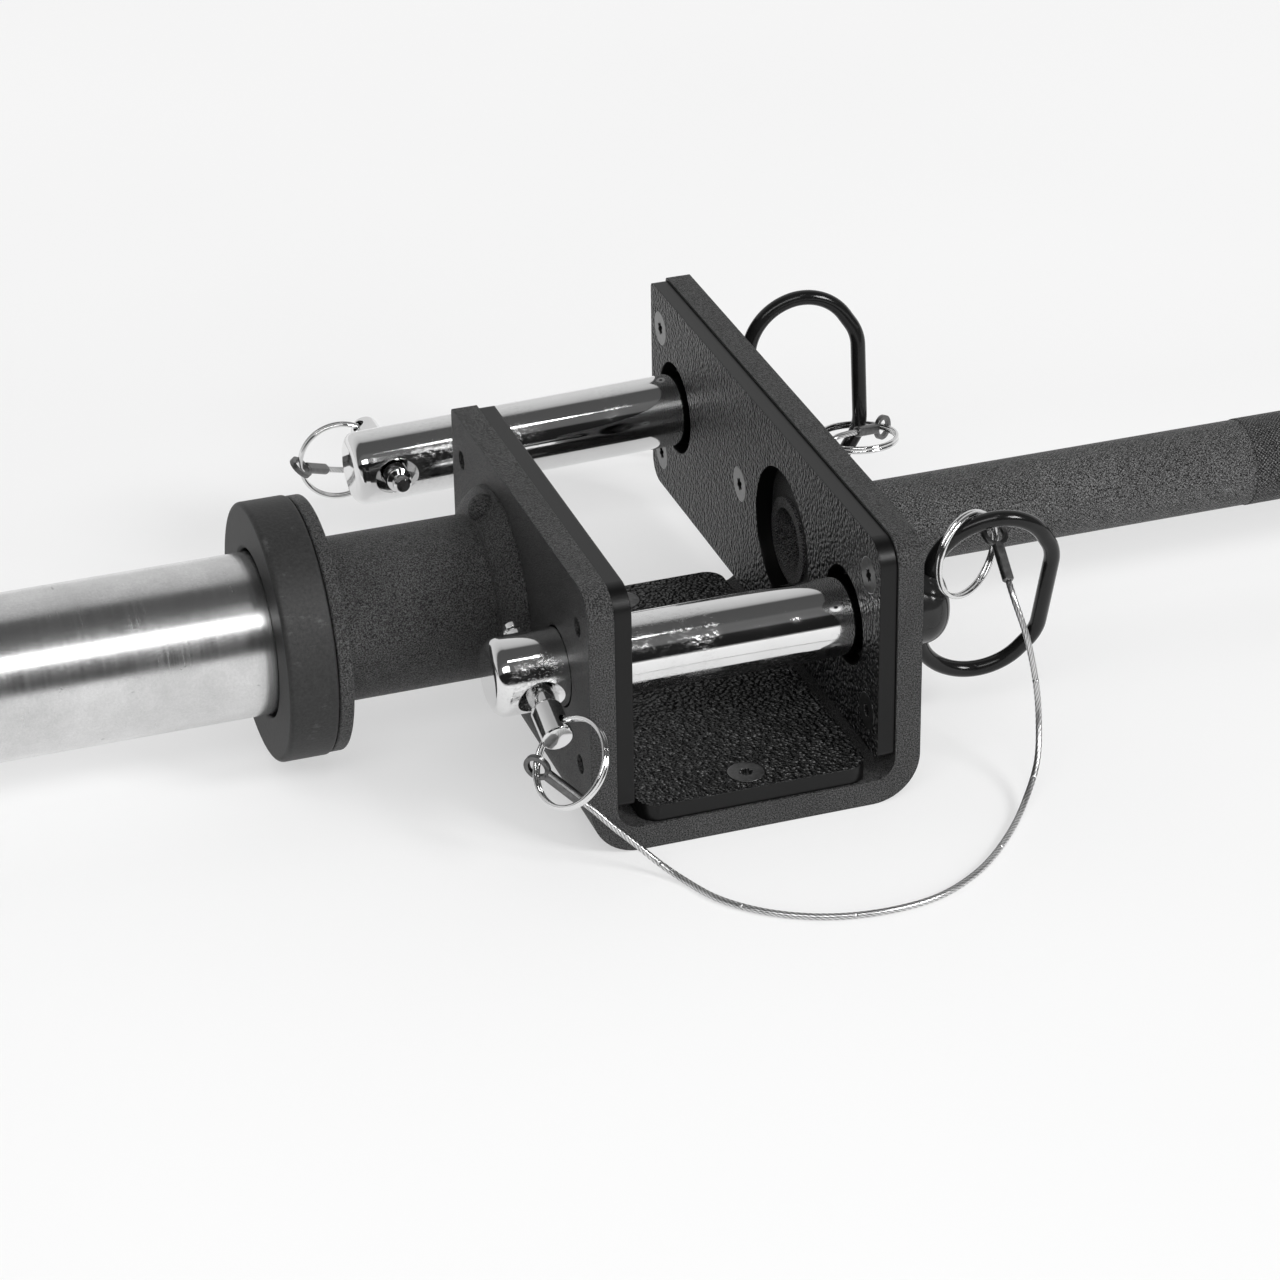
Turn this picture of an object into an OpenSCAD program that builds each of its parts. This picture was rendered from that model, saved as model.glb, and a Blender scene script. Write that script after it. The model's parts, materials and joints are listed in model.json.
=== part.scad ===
// Bar that joins the two jammer arms of a power rack.
// A steel bar lies across the arms. Near each end a U-shaped bracket drops over the end
// of a square arm, two hitch pins hold it there, and a plate sleeve stands outboard.
// Millimetres. X runs along the bar, +Y is away from the lifter, +Z is up, and Z = 0 is
// the level of the bracket undersides. The left end is drawn and the right end mirrors it.

/* [Bar] */
// Distance between the two arms, centre to centre
arm_spacing = 1168; // [900:4:1240]
// Outside diameter of the grip bar tube
grip_d = 28; // [26:1:31]
// Wall of the grip bar tube
grip_wall = 3.5; // [2.5:0.5:5]
// Distance from a bracket's middle to where the knurling begins
knurl_start = 200; // [120:5:300]
// Height of the knurling above the plain tube
knurl_h = 0.25; // [0.15:0.05:0.4]
// Leg of the weld bead where the grip bar meets the bracket
grip_weld = 4; // [3:0.5:6]

/* [Plate sleeve] */
// Outside diameter of the plate sleeve
sleeve_d = 50; // [48:0.5:50.5]
// Wall of the sleeve tube
sleeve_wall = 5; // [3:0.5:8]
// Length of the sleeve from the stop flange to its end
sleeve_len = 320; // [200:10:420]
// Length of the end cap outside the tube
cap_t = 4; // [3:0.5:8]
// Outside diameter of the spacer tube
spacer_d = 50.8; // [48:0.2:56]
// Distance from the bracket to the stop flange
spacer_len = 57; // [40:1:90]
// Leg of the weld bead round the spacer tube
spacer_weld = 8; // [5:0.5:10]
// Diameter of the stop flange
flange_d = 79; // [70:1:86]
// Thickness of the stop flange
flange_t = 4.5; // [3:0.5:8]
// Diameter of the rubber bumper ring
bumper_d = 80; // [70:1:86]
// Thickness of the rubber bumper ring
bumper_t = 15; // [10:1:20]

/* [Bracket] */
// Clear width between the steel walls
channel_w = 88; // [84:1:100]
// Thickness of the bent plate
plate_t = 8; // [6:0.5:10]
// Inside radius of the two bends
bend_r = 7; // [4:0.5:8]
// Reach of the bracket in front of the bar's axis
front_reach = 89; // [84:1:100]
// Reach of the outer wall behind the bar's axis
outer_back = 46; // [40:1:60]
// Reach of the inner wall behind the bar's axis
inner_back = 117; // [112:1:130]
// Height of the walls above the bar's axis
wall_top = 42; // [36:1:50]
// Depth of the bracket's underside below the bar's axis
bracket_drop = 45; // [43:1:52]
// Depth of the rear extension's lower edge below the bar's axis
extension_drop = 32; // [28:1:33]
// Radius of the upper front corners
front_corner_r = 9; // [4:1:12]
// Radius of the extension's lower rear corner
rear_corner_r = 8; // [4:1:12]

/* [Liners] */
// Thickness of the plastic liners
liner_t = 5.5; // [4:0.5:6.5]
// Set-back of the liner edges from the plate edges
liner_inset = 0.8; // [0.4:0.2:2]
// Radius of the floor liner's corners
liner_corner_r = 6; // [3:1:9]
// Diameter of the pin holes in the liners
liner_pin_hole_d = 31; // [29:0.5:34]
// Diameter of the hole round the end of the grip bar
liner_bar_hole_d = 46; // [44:0.5:48]
// Shank diameter of the liner screws
screw_d = 6; // [5:0.5:6]
// Head diameter of the liner screws
screw_head_d = 11.6; // [10:0.2:12]

/* [Hitch pins] */
// Diameter of the hitch pins
pin_d = 24; // [22:0.5:24]
// Clearance of the pin holes in the steel, on the diameter
pin_clear = 1; // [0.6:0.1:1.2]
// Distance of the front pin from the bracket's front edge
front_pin_inset = 29; // [24:1:33]
// Distance of the rear pin from the inner wall's rear edge
rear_pin_inset = 24; // [20:1:29]
// Height of both pins above the bar's axis
pin_rise = 5; // [2:0.5:8]
// Length of the pin past the outer wall
pin_tail = 22; // [20:1:30]
// Distance of the cross hole past the outer wall
cross_hole_x = 9; // [8.5:0.5:10]
// Diameter of the pin's moulded knob
knob_d = 26; // [26:0.5:30]
// Length of the pin's knob
knob_len = 18; // [18:1:24]

/* [Handles] */
// Diameter of the coated handle wire
wire_d = 5; // [4:0.5:6]
// Distance of the handle's pivot from the plate
pivot_x = 13; // [9:0.5:13]

/* [Locking pins] */
// Shaft diameter of the locking pins
lock_d = 8; // [6:0.5:8]
// Diameter of the locking pin's thicker end
lock_head_d = 9.5; // [8.5:0.5:9.5]
// Length of the locking pin from the hitch pin's axis to its head
lock_head_len = 28; // [27:0.5:32]
// Length of the locking pin from the hitch pin's axis to its tip
lock_tip_len = 19; // [16:0.5:24]

/* [Rings and lanyards] */
// Outside diameter of the split rings
ring_d = 28; // [26:0.5:30]
// Thickness of the split ring's wire
ring_wire = 1.4; // [1:0.1:1.6]
// Diameter of the lanyard cable
cable_d = 2; // [1.5:0.1:2.4]

/* [Hidden] */
$fn = 64;

// Colours
black_steel = "#2b2b2d";
black_plastic = "#1c1c1e";
black_rubber = "#232324";
bright_steel = "#b9bbbd";
bright_zinc = "#d8d9da";
dark_wire = "#18181a";
dull_steel = "#7c7d7f";

// The bar's axis in the part: the rear reaches further than the front
axis_y = -6;
axis_z = bracket_drop;
half_span = arm_spacing / 2;

// Faces of a bracket, measured from its middle; the outboard side is negative
wall_in = channel_w / 2;
wall_out = wall_in + plate_t;
floor_top = plate_t - bracket_drop;
flange_x = -wall_out - spacer_len;
sleeve_x = flange_x - flange_t;
sleeve_bore = sleeve_d - 2 * sleeve_wall;

// Running gaps
part_gap = 0.3;
bumper_gap = 1;
eps = 0.01;

// Small edge breaks
edge_break = 1;
top_corner_r = 2;
weld_stop_r = 4.5;

// Ends of the grip bar
grip_stub = 1;
grip_end = half_span - wall_in + grip_stub;
grip_r = grip_d / 2;

// Liners
liner_face = wall_in - liner_t;
liner_low = floor_top + bend_r;
floor_liner_w = channel_w - 2 * (bend_r + 1);
bar_hole_y = -7;
bar_hole_z = 5;
head_clear = 0.2;
thread_end = 1.5;
socket_d = 4.4;
socket_lobe_d = 1.3;
socket_depth = 1.8;

// Screw places, in from the edges of the liners
screw_edge = 10;
screw_top = 14;
screw_low = -18;
mid_screw = [31, 6];
outer_screws = [
    for (y = [screw_edge - front_reach, outer_back - screw_edge])
        for (z = [wall_top - screw_top, screw_low]) [y, z]
];
inner_screws = concat(
    [for (y = [screw_edge - front_reach, inner_back - screw_edge])
        for (z = [wall_top - screw_top, screw_low]) [y, z]],
    [mid_screw]
);
floor_screws = [screw_edge - front_reach, outer_back - screw_edge];

// Hitch pins: places, roll about their own axis and the end that the locking pin enters
pin_hole_d = pin_d + pin_clear;
pin_tip_r = 4;
cross_x = -wall_out - cross_hole_x;
front_pin_y = front_reach - front_pin_inset;
rear_pin_y = inner_back - rear_pin_inset;
cross_d = lock_d + 0.6;
cross_sink_d = 14;
cross_sink_depth = 3.5;
knob_x = wall_out + part_gap;
knob_dome_r = 8;
front_roll = 17.5;
rear_roll = -1.5;
rear_droop = 1.5;

// Handle outline: stub, crown, shoulder, short flank, corner, then the flat
handle_x = wall_out + pivot_x;
handle_hole_d = wire_d + 0.6;
stub_depth = 5;
stub_gap = 0.3;
wire_sides = 16;
bend_step = 8;
crown_r = 19.5;
crown_turn = 75;
shoulder_r = 17;
shoulder_turn = 73;
flank_len = 4;
corner_r = 16;
corner_turn = 180 - crown_turn - shoulder_turn;
handle_side = [
    [stub_depth - stub_gap, 0], [crown_r, crown_turn], [shoulder_r, shoulder_turn],
    [flank_len, 0], [corner_r, corner_turn]
];
front_swing = -7;
rear_swing = -6;

// Locking pins: shoulder, ring hole, spin in the cross hole and swing of the ring
lock_shoulder = 15.5;
lock_ring_at = lock_head_len - 3.5;
lock_ring_hole = 4.4;
groove_depth = 0.7;
ball_d = 3;
ball_out = 0.2;
front_spin = -50;
front_ring_swing = 85;
rear_spin = -50;
rear_ring_swing = 5;

// Split rings: two turns side by side
ring_r = (ring_d - ring_wire) / 2;
ring_pitch = ring_wire * 0.86;
ring_sag = 0.4;
front_hold = [9.5, -1.9, 20.3];
front_hold_tilt = -15;
front_hold_turn = 36;
rear_hold = [34.4, -8.8, -17.1];
rear_hold_tilt = 84;
rear_hold_turn = -20;

// Crimped eyelets: washer, flattened ferrule and the slack with which they hang on a ring
eyelet_d = 8.4;
eyelet_hole_d = 5.6;
eyelet_t = 1.4;
eyelet_slack = 0.3;
ferrule_w = 3.6;
ferrule_t = 2.6;
ferrule_start = 3.2;
ferrule_end = 15.9;
ferrule_bevel = 0.5;

// Lanyard cables: sides of the tube, then the routes, measured from a bracket's middle
cable_sides = 8;
front_route = [
    [-57, -94.6, -20.8], [-53.9, -97.3, -23.3], [-49, -99.5, -28.5], [-43.5, -101, -34],
    [-37, -104, -40.5], [-31.5, -111, -43.7], [-25, -124.5, -43.9], [-14, -136, -43.9],
    [1, -144, -43.9], [18, -147, -43.9], [35, -145, -43.9], [51, -136.5, -43.9],
    [66, -122.5, -43.9], [78.5, -107.5, -42.5], [87, -97, -35.5], [90.2, -90, -25],
    [90, -87, -13], [87.7, -84.3, 1], [85.2, -79.4, 12.3], [85.3, -75.6, 15.3]
];
rear_route = [
    [-72.7, 129, -15], [-69.5, 131.8, -17.1], [-61, 138, -21.5], [-49, 144.5, -25.5],
    [-34, 150, -29], [-17, 154.5, -31.5], [1, 157.5, -33.5], [19, 159, -35],
    [36, 158.5, -37], [51, 154.5, -39], [63, 146.5, -41], [70, 134.5, -42.5],
    [73.5, 120, -43], [75, 105, -42], [76, 91.5, -37.5], [77.3, 80.5, -28.5],
    [79, 73.8, -17.5], [82, 70.8, -9], [87, 71.6, -5], [93.4, 75.1, -5.8],
    [97.3, 77.7, -7.1]
];

// The sliver that a radius of r takes off a corner lying at the origin
module corner_cut(r) {
    if (r > 0) difference() {
        square(r);
        translate([r, r]) circle(r);
    }
}

// Rectangle from [x0, y0] to [x1, y1] with corner radii [low left, low right, high right, high left]
module soft_rect(x0, y0, x1, y1, r) {
    difference() {
        translate([x0, y0]) square([x1 - x0, y1 - y0]);
        translate([x0, y0]) corner_cut(r[0]);
        translate([x1, y0]) mirror([1, 0]) corner_cut(r[1]);
        translate([x1, y1]) mirror([1, 0]) mirror([0, 1]) corner_cut(r[2]);
        translate([x0, y1]) mirror([0, 1]) corner_cut(r[3]);
    }
}

// A plate drawn in Y and Z, from x0 to x1
module side_plate(x0, x1) {
    translate([x0, 0, 0]) rotate([90, 0, 90]) linear_extrude(height = x1 - x0) children();
}

// A round bar along X from x0 to x1
module x_rod(d, x0, x1) {
    translate([x0, 0, 0]) rotate([0, 90, 0]) cylinder(d = d, h = x1 - x0);
}

// A turned shape about X, drawn as [radius, x]
module x_lathe() {
    rotate([0, 90, 0]) rotate_extrude() children();
}

// A tube about X
module x_tube(d, bore, x0, x1) {
    difference() {
        x_rod(d, x0, x1);
        x_rod(bore, x0 - 1, x1 + 1);
    }
}

// Tubes along a route

function unit(v) = v / norm(v);

// Direction of a route at one of its points
function heading(p, i) = unit(p[min(i + 1, len(p) - 1)] - p[max(i - 1, 0)]);

// A direction square to each heading, carried along the route without twisting
function carried(p, side, i = 0) =
    i == len(p) ? [] :
    let (t = heading(p, i), s = unit(side - (side * t) * t))
    concat([s], carried(p, s, i + 1));

module tube(route, d, n, side) {
    last = len(route) - 1;
    sides = carried(route, side);
    skin = [
        for (i = [0:last])
            let (s = sides[i], b = cross(heading(route, i), s))
            for (k = [0:n - 1])
                route[i] + d / 2 * (s * cos(360 * k / n) + b * sin(360 * k / n))
    ];
    walls = [
        for (i = [0:last - 1])
            for (k = [0:n - 1])
                let (m = (k + 1) % n)
                for (f = [
                    [i * n + k, i * n + m, (i + 1) * n + m],
                    [i * n + k, (i + 1) * n + m, (i + 1) * n + k]
                ]) f
    ];
    ends = [
        for (k = [1:n - 2])
            for (f = [[0, k + 1, k], [last * n, last * n + k, last * n + k + 1]]) f
    ];
    polyhedron(points = skin, faces = concat(walls, ends));
}

// A convex weld bead on a shaft of radius r, rising from a face in the direction of -X
module weld_bead(r, leg) {
    x_lathe() translate([r, 0]) bead_profile(leg);
}

module bead_profile(leg) {
    polygon([
        [0, 0], [leg, 0], [0.93 * leg, -0.24 * leg], [0.72 * leg, -0.52 * leg],
        [0.46 * leg, -0.76 * leg], [0.2 * leg, -0.93 * leg], [0, -leg]
    ]);
}

module on_left() {
    translate([-half_span, axis_y, axis_z]) children();
}

module on_right() {
    mirror([1, 0, 0]) on_left() children();
}

// Grip bar

module grip_bar() {
    color(black_steel) translate([0, axis_y, axis_z]) difference() {
        union() {
            x_rod(grip_d, -grip_end, grip_end);
            x_rod(grip_d + 2 * knurl_h, knurl_start - half_span, half_span - knurl_start);
            for (s = [0, 1]) mirror([s, 0, 0]) translate([wall_out - half_span, 0, 0])
                mirror([1, 0, 0]) weld_bead(grip_r - eps, grip_weld);
        }
        x_rod(grip_d - 2 * grip_wall, -grip_end - 1, grip_end + 1);
    }
}

// Plate sleeve

module sleeve() {
    color(bright_steel) x_tube(sleeve_d, sleeve_bore, sleeve_x - sleeve_len, sleeve_x);
}

module sleeve_cap() {
    plug_len = 12;
    color(black_plastic) x_lathe() translate([0, sleeve_x - sleeve_len]) union() {
        soft_rect(0, -cap_t, sleeve_d / 2, 0, [0, 2, 0, 0]);
        translate([0, -eps]) square([sleeve_bore / 2, plug_len + eps]);
    }
}

module bumper() {
    color(black_rubber) x_lathe()
        translate([0, sleeve_x - part_gap - bumper_t])
            soft_rect(sleeve_d / 2 + bumper_gap, 0, bumper_d / 2, bumper_t,
                [edge_break, 1.5 * edge_break, edge_break, 0.5 * edge_break]);
}

module stop_flange() {
    color(black_steel) x_lathe()
        soft_rect(sleeve_bore / 2, sleeve_x, flange_d / 2, flange_x, [0, 0.8, 0.8, 0]);
}

module spacer() {
    color(black_steel) {
        x_tube(spacer_d, sleeve_bore, flange_x, -wall_out);
        translate([-wall_out, 0, 0]) weld_bead(spacer_d / 2 - eps, spacer_weld);
        translate([-wall_out - weld_stop_r, 0, (spacer_d + spacer_weld) / 2])
            sphere(r = weld_stop_r, $fn = 32);
    }
}

// Bracket

module channel_profile() {
    lip = bend_r + plate_t;
    difference() {
        soft_rect(-wall_out, -bracket_drop, wall_out, wall_top, [lip, lip, 0, 0]);
        soft_rect(-wall_in, floor_top, wall_in, wall_top + 1, [bend_r, bend_r, 0, 0]);
    }
}

module bracket() {
    color(black_steel) difference() {
        union() {
            translate([0, outer_back, 0]) rotate([90, 0, 0])
                linear_extrude(height = front_reach + outer_back) channel_profile();
            side_plate(wall_in, wall_out)
                soft_rect(outer_back - eps, -extension_drop, inner_back, wall_top,
                    [0, rear_corner_r, top_corner_r, 0]);
        }
        side_plate(-wall_out - 1, wall_out + 1)
            translate([-front_reach, wall_top]) mirror([0, 1]) corner_cut(front_corner_r);
        side_plate(-wall_out - 1, -wall_in + 1)
            translate([outer_back, wall_top]) mirror([1, 0]) mirror([0, 1])
                corner_cut(top_corner_r);
        translate([0, -front_pin_y, pin_rise]) x_rod(pin_hole_d, -wall_out - 1, wall_out + 1);
        translate([0, rear_pin_y, pin_rise]) x_rod(pin_hole_d, wall_in - 1, wall_out + 1);
        x_rod(grip_d, wall_in - 1, wall_out + 1);
        for (p = outer_screws)
            translate([0, p[0], p[1]]) x_rod(screw_d, -wall_out - 1, -wall_in + 1);
        for (p = inner_screws)
            translate([0, p[0], p[1]]) x_rod(screw_d, wall_in - 1, wall_out + 1);
        for (y = floor_screws)
            translate([0, y, -bracket_drop - 1]) cylinder(d = screw_d, h = plate_t + 2);
    }
}

// Liners

// What a screw takes out of a liner whose face is at z = 0
module sink() {
    rim = screw_head_d + 2 * head_clear;
    shank = screw_d + 2 * head_clear;
    depth = (rim - shank) / 2;
    translate([0, 0, -depth]) cylinder(d1 = shank, d2 = rim, h = depth + eps);
    translate([0, 0, -liner_t - 1]) cylinder(d = shank, h = liner_t + 1);
}

module outer_liner() {
    r = front_corner_r - liner_inset;
    color(black_plastic) difference() {
        side_plate(-wall_in, -liner_face)
            soft_rect(liner_inset - front_reach, liner_low, outer_back - liner_inset,
                wall_top - liner_inset, [top_corner_r, top_corner_r, top_corner_r, r]);
        translate([0, -front_pin_y, pin_rise]) x_rod(liner_pin_hole_d, -wall_out, wall_out);
        for (p = outer_screws) translate([-liner_face, p[0], p[1]]) rotate([0, 90, 0]) sink();
    }
}

module inner_liner() {
    r = front_corner_r - liner_inset;
    color(black_plastic) difference() {
        side_plate(liner_face, wall_in)
            soft_rect(liner_inset - front_reach, liner_low, inner_back - liner_inset,
                wall_top - liner_inset,
                [top_corner_r, rear_corner_r - liner_inset, top_corner_r, r]);
        translate([0, -front_pin_y, pin_rise]) x_rod(liner_pin_hole_d, -wall_out, wall_out);
        translate([0, rear_pin_y, pin_rise]) x_rod(liner_pin_hole_d, -wall_out, wall_out);
        translate([0, bar_hole_y, bar_hole_z]) x_rod(liner_bar_hole_d, -wall_out, wall_out);
        for (p = inner_screws) translate([liner_face, p[0], p[1]]) rotate([0, -90, 0]) sink();
    }
}

module floor_liner() {
    r = liner_corner_r;
    color(black_plastic) difference() {
        translate([0, 0, floor_top]) linear_extrude(height = liner_t)
            soft_rect(-floor_liner_w / 2, liner_inset - front_reach, floor_liner_w / 2,
                outer_back - liner_inset, [r, r, r, r]);
        for (y = floor_screws) translate([0, y, floor_top + liner_t]) sink();
    }
}

// A flush screw with a six-lobed socket, head up at z = 0
module liner_screw() {
    depth = (screw_head_d - screw_d) / 2;
    len = liner_t + plate_t - thread_end;
    difference() {
        union() {
            translate([0, 0, -depth]) cylinder(d1 = screw_d, d2 = screw_head_d, h = depth);
            translate([0, 0, -len]) cylinder(d = screw_d, h = len - depth + eps);
        }
        translate([0, 0, -socket_depth]) {
            cylinder(d = socket_d - socket_lobe_d, h = socket_depth + 1);
            for (a = [0:60:300]) rotate([0, 0, a])
                translate([(socket_d - socket_lobe_d) / 2, 0, 0])
                    cylinder(d = socket_lobe_d, h = socket_depth + 1, $fn = 24);
        }
    }
}

module liner_screws() {
    color(black_steel) {
        for (p = outer_screws)
            translate([-liner_face, p[0], p[1]]) rotate([0, 90, 0]) liner_screw();
        for (p = inner_screws)
            translate([liner_face, p[0], p[1]]) rotate([0, -90, 0]) liner_screw();
        for (y = floor_screws) translate([0, y, floor_top + liner_t]) liner_screw();
    }
}

// Hitch pins

// Frame of a hitch pin: its axis along X, rolled and drooping as it lies in its holes
module at_pin(y, roll, droop = 0) {
    hang_x = wall_in + plate_t / 2;
    translate([hang_x, y, pin_rise]) rotate([roll, -droop, 0]) translate([-hang_x, 0, 0])
        children();
}

module at_front() {
    at_pin(-front_pin_y, front_roll) children();
}

module at_rear() {
    at_pin(rear_pin_y, rear_roll, rear_droop) children();
}

module hitch_pin() {
    tip = -wall_out - pin_tail;
    color(bright_zinc) difference() {
        x_lathe() difference() {
            translate([0, tip]) square([pin_d / 2, knob_x - tip]);
            translate([pin_d / 2, tip]) mirror([1, 0]) corner_cut(pin_tip_r);
        }
        translate([cross_x, 0, 0]) rotate([90, 0, 0]) {
            cylinder(d = cross_d, h = pin_d + 2, center = true);
            for (s = [0, 1]) mirror([0, 0, s])
                translate([0, 0, pin_d / 2 - cross_sink_depth])
                    cylinder(d1 = cross_d, d2 = cross_sink_d + 2, h = cross_sink_depth + 1);
        }
    }
}

module pin_knob() {
    color(dark_wire) difference() {
        x_lathe() soft_rect(0, knob_x, knob_d / 2, knob_x + knob_len,
            [0, edge_break, knob_dome_r, 0]);
        translate([handle_x, 0, 0]) for (s = [0, 1]) mirror([0, 0, s])
            translate([0, 0, knob_d / 2 - stub_depth])
                cylinder(d = handle_hole_d, h = knob_d);
    }
}

// Handles

// Points of a bent wire, as [x, z], from steps of [length, 0] or [radius, turn].
// The wire sets out along +Z and turns towards +X.
function bent(steps, at = [0, 0], way = 0, i = 0) =
    i == len(steps) ? [at] :
    let (run = steps[i][0], turn = steps[i][1])
    turn == 0 ? concat([at], bent(steps, at + run * [sin(way), cos(way)], way, i + 1)) :
    let (
        hub = at + run * [cos(way), -sin(way)],
        n = ceil(turn / bend_step),
        spots = [for (k = [0:n]) hub + run * [-cos(way + turn * k / n), sin(way + turn * k / n)]]
    )
    concat([for (k = [0:n - 1]) spots[k]], bent(steps, spots[n], way + turn, i + 1));

// Frame of a handle: its pivot along Z, its reach along X
module at_handle(swing) {
    translate([handle_x, 0, 0]) rotate([0, 0, swing]) children();
}

// One bent wire: up one side, across the flat and down the other side
module handle() {
    half = [for (p = bent(handle_side)) [p[0], 0, p[1] + knob_d / 2 - stub_depth + stub_gap]];
    last = len(half) - 1;
    color(dark_wire) tube(
        concat(half, [for (k = [last:-1:0]) [half[k][0], 0, -half[k][2]]]),
        wire_d, wire_sides, [0, 1, 0]
    );
}

// Locking pins

// Frame of a locking pin: its head along -Y, spun in the cross hole
module at_lock(flip, spin) {
    translate([cross_x, 0, 0]) rotate([0, 0, flip]) rotate([0, spin, 0]) children();
}

module lock_pin() {
    r = lock_d / 2;
    head_r = lock_head_d / 2;
    tip = -lock_tip_len;
    groove = tip + 3;
    color(bright_zinc) difference() {
        union() {
            rotate([90, 0, 0]) rotate_extrude() polygon([
                [0, tip], [r - 1.8, tip], [r - 1, tip + 0.8], [r - 1, groove - 0.4],
                [r - 1 - groove_depth, groove], [r - 1 - groove_depth, groove + 0.8],
                [r, groove + 1.8], [r, lock_shoulder], [head_r, lock_shoulder + 1],
                [head_r, lock_head_len - 0.4], [head_r - 0.4, lock_head_len],
                [0, lock_head_len]
            ]);
            translate([r + ball_out - ball_d / 2, -groove - 3.6, 0]) sphere(d = ball_d, $fn = 32);
        }
        translate([0, -lock_ring_at, 0]) x_rod(lock_ring_hole, -lock_head_d, lock_head_d);
    }
}

// Rings

module split_ring() {
    color(bright_zinc) rotate([90, 0, 0])
        for (s = [-1, 1]) translate([0, 0, s * ring_pitch / 2])
            rotate_extrude() translate([ring_r, 0]) circle(d = ring_wire, $fn = 24);
}

// Frame of a ring in a locking pin's hole, hanging towards -Z before it swings
module at_lock_ring(swing) {
    translate([0, -lock_ring_at, 0]) rotate([-swing, 0, 0])
        translate([0, 0, ring_sag - ring_r]) children();
}

// Frame of the ring that hangs on a handle's wire
module at_hold(place, tilt, turn) {
    translate(place) rotate([tilt, 0, turn]) children();
}

// An eyelet on a split ring, at an angle round the ring and turned the way its cable leaves
module on_ring(angle, turns) {
    translate([ring_r * cos(angle), 0, ring_r * sin(angle)]) rotate(turns)
        translate([eyelet_slack, 0, 0]) eyelet();
}

module ferrule() {
    r = ferrule_w / 2;
    intersection() {
        x_lathe() polygon([
            [0, ferrule_start], [r, ferrule_start + ferrule_bevel],
            [r, ferrule_end - ferrule_bevel], [r - ferrule_bevel, ferrule_end],
            [0, ferrule_end]
        ]);
        translate([0, -ferrule_w, -ferrule_t / 2]) cube([ferrule_end + 1, 2 * ferrule_w, ferrule_t]);
    }
}

module eyelet() {
    color(dull_steel) difference() {
        union() {
            cylinder(d = eyelet_d, h = eyelet_t, center = true);
            ferrule();
        }
        cylinder(d = eyelet_hole_d, h = 2 * eyelet_t, center = true);
    }
}

module cable(route) {
    color(dull_steel) tube(route, cable_d, cable_sides, [0, 0, 1]);
}

// Pieces of one side, in their places

module front_lock() at_front() at_lock(0, front_spin) lock_pin();
module front_lock_frame() at_front() at_lock(0, front_spin) at_lock_ring(front_ring_swing)
    children();
module front_lock_ring() front_lock_frame() split_ring();
module front_lock_eyelet() front_lock_frame() on_ring(144, [-166, 48, 77]);
module front_hold_frame() at_front() at_handle(front_swing)
    at_hold(front_hold, front_hold_tilt, front_hold_turn) children();
module front_handle_ring() front_hold_frame() split_ring();
module front_handle_eyelet() front_hold_frame() on_ring(1, [-19, 34, -125]);
module front_cable() cable(front_route);

module rear_lock() at_rear() at_lock(180, rear_spin) lock_pin();
module rear_lock_frame() at_rear() at_lock(180, rear_spin) at_lock_ring(rear_ring_swing)
    children();
module rear_lock_ring() rear_lock_frame() split_ring();
module rear_lock_eyelet() rear_lock_frame() on_ring(308, [3, -10, -141]);
module rear_hold_frame() at_rear() at_handle(rear_swing)
    at_hold(rear_hold, rear_hold_tilt, rear_hold_turn) children();
module rear_handle_ring() rear_hold_frame() split_ring();
module rear_handle_eyelet() rear_hold_frame() on_ring(306, [17, -59, 159]);
module rear_cable() cable(rear_route);

// Left and right pieces

module left_sleeve() on_left() sleeve();
module left_sleeve_cap() on_left() sleeve_cap();
module left_bumper() on_left() bumper();
module left_stop_flange() on_left() stop_flange();
module left_spacer() on_left() spacer();
module left_bracket() on_left() bracket();
module left_outer_liner() on_left() outer_liner();
module left_inner_liner() on_left() inner_liner();
module left_floor_liner() on_left() floor_liner();
module left_liner_screws() on_left() liner_screws();
module left_front_pin() on_left() at_front() hitch_pin();
module left_front_knob() on_left() at_front() pin_knob();
module left_front_handle() on_left() at_front() at_handle(front_swing) handle();
module left_front_lock() on_left() front_lock();
module left_front_lock_ring() on_left() front_lock_ring();
module left_front_handle_ring() on_left() front_handle_ring();
module left_front_lock_eyelet() on_left() front_lock_eyelet();
module left_front_handle_eyelet() on_left() front_handle_eyelet();
module left_front_cable() on_left() front_cable();
module left_rear_pin() on_left() at_rear() hitch_pin();
module left_rear_knob() on_left() at_rear() pin_knob();
module left_rear_handle() on_left() at_rear() at_handle(rear_swing) handle();
module left_rear_lock() on_left() rear_lock();
module left_rear_lock_ring() on_left() rear_lock_ring();
module left_rear_handle_ring() on_left() rear_handle_ring();
module left_rear_lock_eyelet() on_left() rear_lock_eyelet();
module left_rear_handle_eyelet() on_left() rear_handle_eyelet();
module left_rear_cable() on_left() rear_cable();
module right_sleeve() on_right() sleeve();
module right_sleeve_cap() on_right() sleeve_cap();
module right_bumper() on_right() bumper();
module right_stop_flange() on_right() stop_flange();
module right_spacer() on_right() spacer();
module right_bracket() on_right() bracket();
module right_outer_liner() on_right() outer_liner();
module right_inner_liner() on_right() inner_liner();
module right_floor_liner() on_right() floor_liner();
module right_liner_screws() on_right() liner_screws();
module right_front_pin() on_right() at_front() hitch_pin();
module right_front_knob() on_right() at_front() pin_knob();
module right_front_handle() on_right() at_front() at_handle(front_swing) handle();
module right_front_lock() on_right() front_lock();
module right_front_lock_ring() on_right() front_lock_ring();
module right_front_handle_ring() on_right() front_handle_ring();
module right_front_lock_eyelet() on_right() front_lock_eyelet();
module right_front_handle_eyelet() on_right() front_handle_eyelet();
module right_front_cable() on_right() front_cable();
module right_rear_pin() on_right() at_rear() hitch_pin();
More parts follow.
